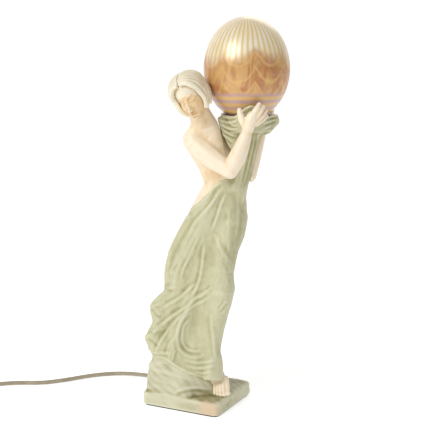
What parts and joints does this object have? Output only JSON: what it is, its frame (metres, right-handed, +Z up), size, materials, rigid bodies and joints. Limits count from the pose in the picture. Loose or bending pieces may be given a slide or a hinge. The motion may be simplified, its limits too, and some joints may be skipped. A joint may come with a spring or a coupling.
{
  "type": "figural table lamp",
  "caption": "Table lamp with a striding draped figure that holds an iridescent glass globe in gathered cloth, on a rough plinth, with lampholder, bulb and mains lead.",
  "frame": {"origin": "centre of the plinth's footprint at the underside of the felt pad", "axes": "+Z up; X along the plinth's length, to the right seen from the plinth's front; Y along its depth, towards the back; the figure faces the front left corner region and the globe stands over the back right"},
  "size_m": [0.5729, 0.3247, 0.6],
  "materials": {
    "rock_glaze": "matt glaze, rough hewn",
    "drapery_glaze": "satin pale green glaze over buff clay",
    "skin_bisque": "warm ivory matt glaze",
    "hair_bisque": "cream matt glaze",
    "lustre_glass": "iridescent lustre, nearly opaque",
    "clear_glass": "clear",
    "aged_brass": "aged satin",
    "cork": "pressed cork",
    "felt": "felt",
    "dark_plastic": "moulded",
    "white_porcelain": "glazed",
    "cap_metal": "satin",
    "filament_metal": "satin",
    "pin_metal": "bright",
    "lead_sheath": "smooth",
    "relief_rubber": "matt",
    "cord_sheath": "satin",
    "plug_plastic": "moulded"
  },
  "bodies": {
    "figure": {"plinth": "rock_glaze", "felt_pad": "felt", "skirt": "drapery_glaze", "flutter_drape": "drapery_glaze", "torso": "drapery_glaze", "mantle": "drapery_glaze", "cloth_bowl": "drapery_glaze", "cloth_tail": "drapery_glaze", "right_arm": "skin_bisque", "right_hand": "skin_bisque", "left_arm": "skin_bisque", "left_hand": "skin_bisque", "foot": "skin_bisque", "head": "skin_bisque", "hair": "hair_bisque", "gallery": "aged_brass", "seat_ring": "cork", "nipple": "aged_brass", "lock_nut": "aged_brass", "holder_cap": "dark_plastic", "holder_shell": "dark_plastic", "holder_insert": "white_porcelain", "screw_shell": "aged_brass", "centre_contact": "aged_brass", "inner_lead": "lead_sheath", "cord_relief": "relief_rubber", "cord": "cord_sheath", "cord_coil": "cord_sheath", "plug_body": "plug_plastic", "plug_pin_1": "pin_metal", "plug_pin_2": "pin_metal"},
    "globe": {"globe": "lustre_glass"},
    "bulb": {"bulb_glass": "clear_glass", "bulb_cap": "cap_metal", "bulb_insulator": "dark_plastic", "bulb_tip": "cap_metal", "bulb_stem": "clear_glass", "bulb_filament": "filament_metal"}
  },
  "joints": [
    {"name": "globe_lift", "type": "slide", "parent": "figure", "child": "globe", "axis": [0, 0, 1], "range_m": [0, 0.13]},
    {"name": "bulb_unscrew", "type": "slide", "parent": "figure", "child": "bulb", "axis": [0, 0, 1], "range_m": [0, 0.03]}
  ]
}
